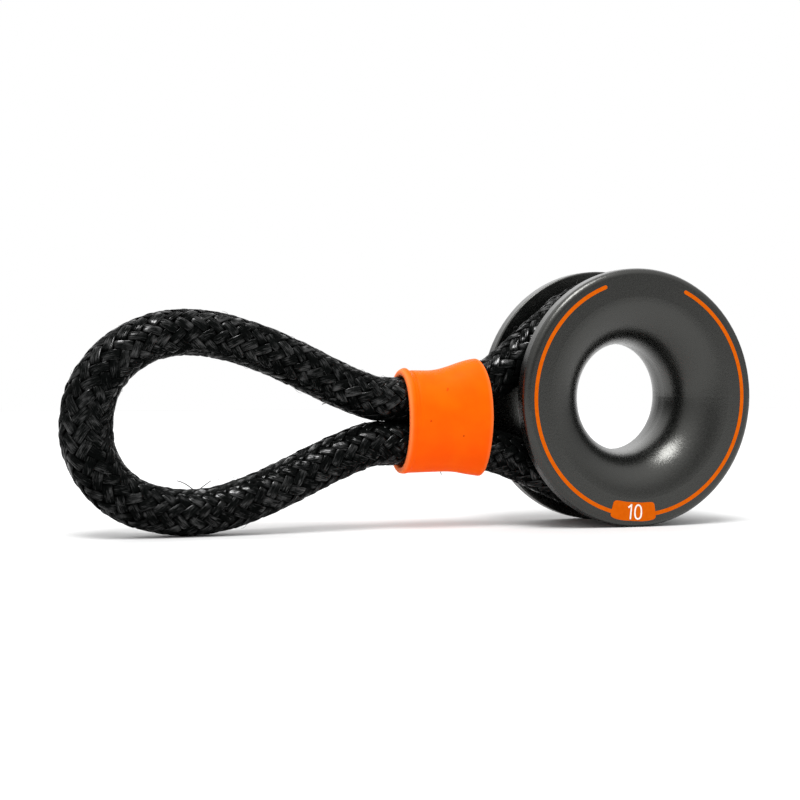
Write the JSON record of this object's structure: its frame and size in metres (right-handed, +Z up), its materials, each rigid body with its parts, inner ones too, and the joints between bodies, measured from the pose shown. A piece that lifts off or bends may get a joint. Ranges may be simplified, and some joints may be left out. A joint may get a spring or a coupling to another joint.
{
  "type": "low friction ring",
  "caption": "Turned ring with a flared bore, held in the groove of a braided rope loop; a stretched sleeve binds both legs and leaves an open lashing eye.",
  "frame": {"origin": "centre of the ring's bore, midway between its two faces", "axes": "+Y along the bore, from the printed face to the plain face; the rope loop and its eye reach out along -X; +Z up, square to the surface that the ring's rims and the eye rest on, 12 mm below the origin"},
  "size_m": [0.0647, 0.0098, 0.024],
  "materials": {
    "anodised": "satin dark hard-anodised, finely speckled",
    "braid": "black braided yarn with a slight sheen",
    "sleeve_rubber": "matte bright orange, stretched smooth",
    "ink": "matte printed orange line and plaque"
  },
  "bodies": {
    "root": {"ring": "anodised", "rope_loop": "braid", "sleeve": "sleeve_rubber"}
  },
  "joints": []
}
